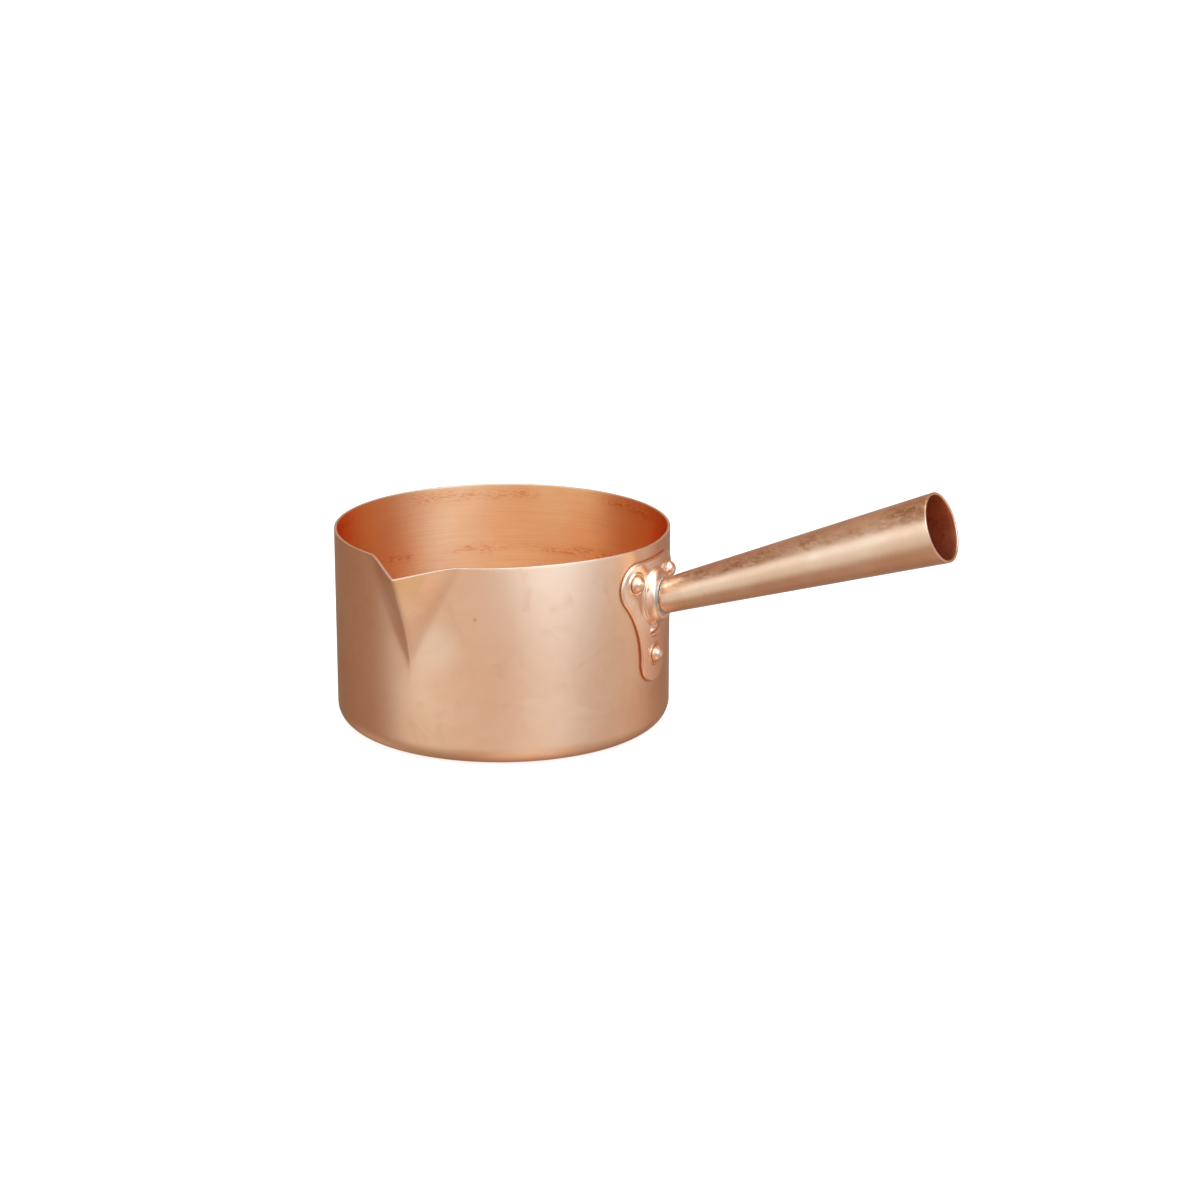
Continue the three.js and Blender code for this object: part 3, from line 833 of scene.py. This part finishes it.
def turned(name, profile, around=96):
    """A closed turned piece whose profile starts and ends on its axis."""
    rings = upright_rings(profile[1:-1], around)
    ends = [[0, 0, profile[0][1]], [0, 0, profile[-1][1]]]
    points = np.concatenate([*rings, ends])
    faces = skinned(np.array(rings))
    foot = len(rings) * around
    last = foot - around
    for i in range(around):
        following = (i + 1) % around
        faces.append([foot, following, i])
        faces.append([foot + 1, last + i, last + following])
    return smooth_object(name, points, faces)


hammered = Finish("hammered_copper_rivet")
head_bloom = hammered.cloud(240, detail=3)
head_blend = hammered.ranged(head_bloom, 0.35, 0.7)
hammered.colour(hammered.tinted(head_blend, (0.97, 0.69, 0.52), (0.90, 0.58, 0.41)))
hammered.roughness(hammered.ranged(head_bloom, 0.3, 0.7, 0.2, 0.28))
hammered.relief((hammered.cloud(420, detail=1), 0.0001), (hammered.cloud(1500, detail=2), 0.000008))

for node, (along, height) in rivets.items():
    rivet = turned(node + "_copper", rivet_profile())
    angle = np.array(along / pan_radius)
    point, square, _ = pan_skin(angle, pan_radius, np.array(height), 0.0, 1.0)
    stand = Vector((0, 0, 1)).rotation_difference(Vector(square)).to_matrix().to_4x4()
    rivet.data.transform(Matrix.Translation(Vector(point) * MM) @ stand)
    rivet.data.materials.append(hammered.material)
    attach(rivet, "root")
    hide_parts(node)


# The handle is a cone of copper sheet rolled round a former, its seam brazed and polished
# away. It is pushed over the spigot and soldered there, and its wide end is open.
mouth_softening = 0.35


def along_handle(profile, around=144):
    """A tube on the handle's axis from pairs of radius and distance, closed on itself."""
    turns = np.arange(around) / around * 2 * math.pi
    rings = []
    for radius, distance in profile:
        from_joint = min(1, (distance - handle_start) / joint_run)
        tilt = joint_tilt + (handle_rise - joint_tilt) * from_joint
        rings.append(round_handle(distance, radius, tilt, turns))
    return np.array(rings + rings[:1])


handle_profile = []
for distance in np.linspace(handle_start, handle_end - mouth_softening, 70):
    handle_profile.append((handle_radius(distance), distance))
mouth = handle_mouth_radius
for turn in np.linspace(0, math.pi / 2, 5)[1:]:
    inwards = mouth_softening * (1 - math.cos(turn))
    handle_profile.append((mouth - inwards, handle_end - mouth_softening * (1 - math.sin(turn))))
for turn in np.linspace(math.pi / 2, 0, 5):
    inwards = handle_sheet - mouth_softening * (1 - math.cos(turn))
    handle_profile.append((mouth - inwards, handle_end - mouth_softening * (1 - math.sin(turn))))
for distance in np.linspace(handle_end - mouth_softening, handle_start, 70)[1:]:
    handle_profile.append((handle_radius(distance) - handle_sheet, distance))
handle_rings = along_handle(handle_profile)
handle = smooth_object("handle", handle_rings.reshape(-1, 3), skinned(handle_rings))
bore_starts = handle_profile.index((mouth - handle_sheet, handle_end - mouth_softening))
ring_of_face = np.repeat(np.arange(len(handle_profile)), handle_rings.shape[1])
in_bore = (ring_of_face >= bore_starts).astype(int)
handle.data.polygons.foreach_set("material_index", in_bore.tolist())
welded(handle)

# The handle's copper is polished, with grainy dark patches along its top.
handle_light = (0.96, 0.72, 0.55)
handle_deep = (0.90, 0.62, 0.45)
dark_top_tone = (0.44, 0.21, 0.10)

aged = Finish("handle_copper")
tone = aged.tinted(aged.ranged(aged.cloud(40, detail=3), 0.3, 0.7), handle_light, handle_deep)
facing = aged.nodes.new("ShaderNodeVectorMath")
facing.operation = "DOT_PRODUCT"
aged.links.new(aged.nodes.new("ShaderNodeTexCoord").outputs["Normal"], facing.inputs[0])
facing.inputs[1].default_value = (-math.sin(handle_rise), 0, math.cos(handle_rise))
on_top = aged.math("MULTIPLY", aged.ranged(facing.outputs["Value"], 0.34, 0.6),
                   aged.ranged(facing.outputs["Value"], 0.78, 0.98, 1.0, 0.4))
drawn_along = aged.stretched((0.4, 1, 1))
grains = aged.ranged(aged.cloud(430, detail=5, roughness=0.75, place=drawn_along), 0.36, 0.6)
blotches = aged.ranged(aged.cloud(60, detail=3, roughness=0.6, place=drawn_along), 0.34, 0.58)
dark_top_patches = aged.math("MULTIPLY", on_top, aged.math("MULTIPLY", blotches, grains))
aged.colour(aged.tinted(dark_top_patches, tone, dark_top_tone))
polish = aged.ranged(aged.cloud(120, detail=4), 0.3, 0.7, 0.24, 0.32)
aged.roughness(aged.math("ADD", polish, aged.math("MULTIPLY", dark_top_patches, 0.12)))
aged.relief((aged.cloud(45, detail=2), 0.0002), (aged.cloud(900, detail=3), 0.000008))

# Inside, the handle was never polished, and is red and stained.
bore_light = (0.94, 0.50, 0.28)
bore_deep = (0.66, 0.24, 0.12)

bore = Finish("unpolished_handle_bore")
bore_stains = bore.cloud(110, detail=4, roughness=0.65)
bore.colour(bore.tinted(bore.ranged(bore_stains, 0.35, 0.65), bore_light, bore_deep))
bore.roughness(bore.ranged(bore_stains, 0.3, 0.7, 0.26, 0.42))
bore.relief((bore.cloud(260, detail=3), 0.00008))
for finish in (aged, bore):
    handle.data.materials.append(finish.material)
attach(handle, "root")
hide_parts("handle_tube")


# The solder is a bead of dull grey metal run into the corner between the boss and the small
# end of the handle. It was wiped while hot, so its edge wanders a little.
bead_foot = boss_stand_out - 0.02
bead_top = handle_start + 0.7
bead_width = 0.6
bead_bite = 0.3
bead_sink = 0.02
bead_shoulder_drop = 0.3
bead_root_drop = 0.4
loose_above_foot = 0.5


def bead_rings(around=144, across=12):
    """Rings over the bead from the boss to the handle, and back under the handle's skin."""
    turns = np.arange(around) / around * 2 * math.pi
    wander = np.zeros(around)
    for depth, waves_round, start in ((0.14, 3, 0.8), (0.1, 7, 2.1), (0.06, 13, 0)):
        wander += depth * np.sin(waves_round * turns + start)
    inner = handle_small_radius - bead_bite
    bead_rise = bead_top - bead_foot - bead_shoulder_drop
    shape = [(inner, bead_foot, 0.0)]
    for turn in np.linspace(0, math.pi / 2, across):
        radius = handle_small_radius - bead_sink + bead_width * math.cos(turn)
        shape.append((radius, bead_foot + bead_rise * math.sin(turn), 1.0))
    shape.append((inner, bead_top - bead_root_drop, 0.0))
    along_handle_way = np.array([math.cos(handle_rise), 0, math.sin(handle_rise)])
    rings = []
    for radius, distance, loose in shape:
        reach = radius + loose * wander * (radius > handle_small_radius)
        sway = loose * wander[:, None] * along_handle_way
        sway = sway * (distance > bead_foot + loose_above_foot)
        rings.append(sway + round_handle(distance, reach, joint_tilt, turns))
    return np.array(rings + rings[:1])


solder_rings = bead_rings()
solder = smooth_object("solder_bead", solder_rings.reshape(-1, 3), skinned(solder_rings))
welded(solder)

grey = Finish("wiped_solder", metallic=0.9)
grain = grey.cloud(900, detail=3)
grey.colour(grey.tinted(grain, (0.38, 0.38, 0.36), (0.60, 0.59, 0.56)))
grey.roughness(grey.ranged(grain, 0.3, 0.7, 0.4, 0.6))
grey.relief((grain, 0.00006))
solder.data.materials.append(grey.material)
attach(solder, "root")
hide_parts("solder_ring")


# The studio is a white paper sweep that lies flat round the pot and rises far away on all sides.
# Soft boxes, which are all made in the world's shader, light the metal and are mirrored in it.
# The long lens looks from the pot's front right, turned 27.6 degrees and tipped 16.3 degrees.
scene = bpy.context.scene
scene.view_settings.view_transform = "Standard"
sweep_flat = 3.6
sweep_bend = 1.5
sweep_top = 5.0
sweep_below_pot = 0.0002
sweep_around = 96


def paper_sweep():
    """A round floor whose edge bends up into a wall. Its sizes are in metres."""
    profile = [(radius, 0.0) for radius in np.linspace(0.4, sweep_flat, 8)]
    for turn in np.linspace(0, math.pi / 2, 14)[1:]:
        out, up = sweep_bend * math.sin(turn), sweep_bend * (1 - math.cos(turn))
        profile.append((sweep_flat + out, up))
    profile.append((sweep_flat + sweep_bend, sweep_top))
    rings = upright_rings(profile, sweep_around)
    faces = [face[::-1] for face in skinned(np.array(rings))]
    faces.append(list(range(sweep_around)))
    return smooth_object("paper_sweep", np.concatenate(rings) / MM, faces)


sweep = paper_sweep()
sweep.location.z = -sweep_below_pot
paper = bpy.data.materials.new("white_paper")
paper.use_nodes = True
paper_surface = paper.node_tree.nodes["Principled BSDF"].inputs
paper_surface["Base Color"].default_value = (0.35, 0.35, 0.35, 1)
paper_surface["Roughness"].default_value = 1.0
paper_surface["Specular IOR Level"].default_value = 0.0
paper_surface["Emission Color"].default_value = (1, 1, 1, 1)
paper_surface["Emission Strength"].default_value = 0.8
sweep.data.materials.append(paper)
# The metal doesn't mirror the paper, because the lights below the horizon show through it.
sweep.visible_glossy = False
sweep.visible_shadow = False


def bearing_way(bearing, lift):
    """The way to a light: its bearing is 0 in front of the pot and 90 at the handle's side."""
    bearing, lift = math.radians(bearing), math.radians(lift)
    level = math.cos(lift)
    return (math.sin(bearing) * level, -math.cos(bearing) * level, math.sin(lift))


studio = bpy.data.worlds.new("studio")
studio.use_nodes = True
studio_nodes = studio.node_tree.nodes
studio_links = studio.node_tree.links
way = studio_nodes.new("ShaderNodeTexCoord").outputs["Generated"]


def studio_node(kind, operation, first, second=None):
    node = studio_nodes.new(kind)
    node.operation = operation
    for socket, value in zip(node.inputs, (first, second)):
        if isinstance(value, (int, float, tuple)):
            socket.default_value = value
        elif value is not None:
            studio_links.new(value, socket)
    return node


def soft_box(bearing, lift, sharpness, colour):
    """A soft round light that fades from its middle; the sharper it is, the smaller."""
    facing = studio_node("ShaderNodeVectorMath", "DOT_PRODUCT", way, bearing_way(bearing, lift))
    away = studio_node("ShaderNodeMath", "SUBTRACT", facing.outputs["Value"], 1)
    faded = studio_node("ShaderNodeMath", "MULTIPLY", away.outputs[0], sharpness)
    fade = studio_node("ShaderNodeMath", "EXPONENT", faded.outputs[0])
    shine = studio_node("ShaderNodeVectorMath", "SCALE", colour)
    studio_links.new(fade.outputs[0], shine.inputs["Scale"])
    return shine.outputs[0]


# Each soft box has a bearing and a lift in degrees, a sharpness and a colour. The room adds a
# warm glow from all sides.
soft_boxes = (
    (0, 90, 8, (1.75, 2.05, 1.8)),
    (70, 38, 9, (1.85, 3.2, 4.3)),
    (64, 10, 16, (0.3, 0.3, 0.35)),
    (26, 36, 14, (0.4, 0.5, 0.5)),
    (-8, 24, 10, (0.75, 1.1, 1.2)),
    (-36, 6, 16, (0.62, 0.78, 0.86)),
    (-28, -28, 16, (0.42, 0.53, 0.5)),
    (-24, 52, 12, (0.62, 0.5, 0.4)),
    (60, -60, 10, (0.7, 0.55, 0.42)),
    (-155, -12, 8, (0.02, 0.2, 0.24)),
    (110, -16, 12, (0.3, 0.38, 0.36)),
    (10, -12, 14, (0.32, 0.29, 0.3)),
    (180, 40, 3, (0.2, 0.04, 0.0)),
    (-100, -42, 26, (0.45, 0.45, 0.4)),
    (48, -38, 14, (0.3, 0.38, 0.34)),
    (134, -14, 14, (0.3, 0.33, 0.34)),
)
room_tint = (0.31, 0.18, 0.125)
glow = studio_nodes.new("ShaderNodeCombineXYZ").outputs[0]
for socket, value in zip(glow.node.inputs, room_tint):
    socket.default_value = value
for box in soft_boxes:
    glow = studio_node("ShaderNodeVectorMath", "ADD", glow, soft_box(*box)).outputs[0]
background = studio_nodes["Background"]
studio_links.new(glow, background.inputs["Color"])
scene.world = studio

yaw = math.radians(27.560)
pitch = math.radians(16.320)
roll = math.radians(0.110)
camera_place = Vector((0.638004, -1.121880, 0.434498))
level_right = Vector((math.cos(yaw), math.sin(yaw), 0))
back_way = Vector((
    math.sin(yaw) * math.cos(pitch),
    -math.cos(yaw) * math.cos(pitch),
    math.sin(pitch),
))
level_up = back_way.cross(level_right)
right_way = math.cos(roll) * level_right + math.sin(roll) * level_up
up_way = math.cos(roll) * level_up - math.sin(roll) * level_right
view = bpy.data.cameras.new("camera")
view.sensor_width = 36
view.lens = 84
camera = bpy.data.objects.new("camera", view)
facing_pot = Matrix((right_way, up_way, back_way)).transposed().to_4x4()
camera.matrix_world = Matrix.Translation(camera_place) @ facing_pot
scene.collection.objects.link(camera)
scene.camera = camera
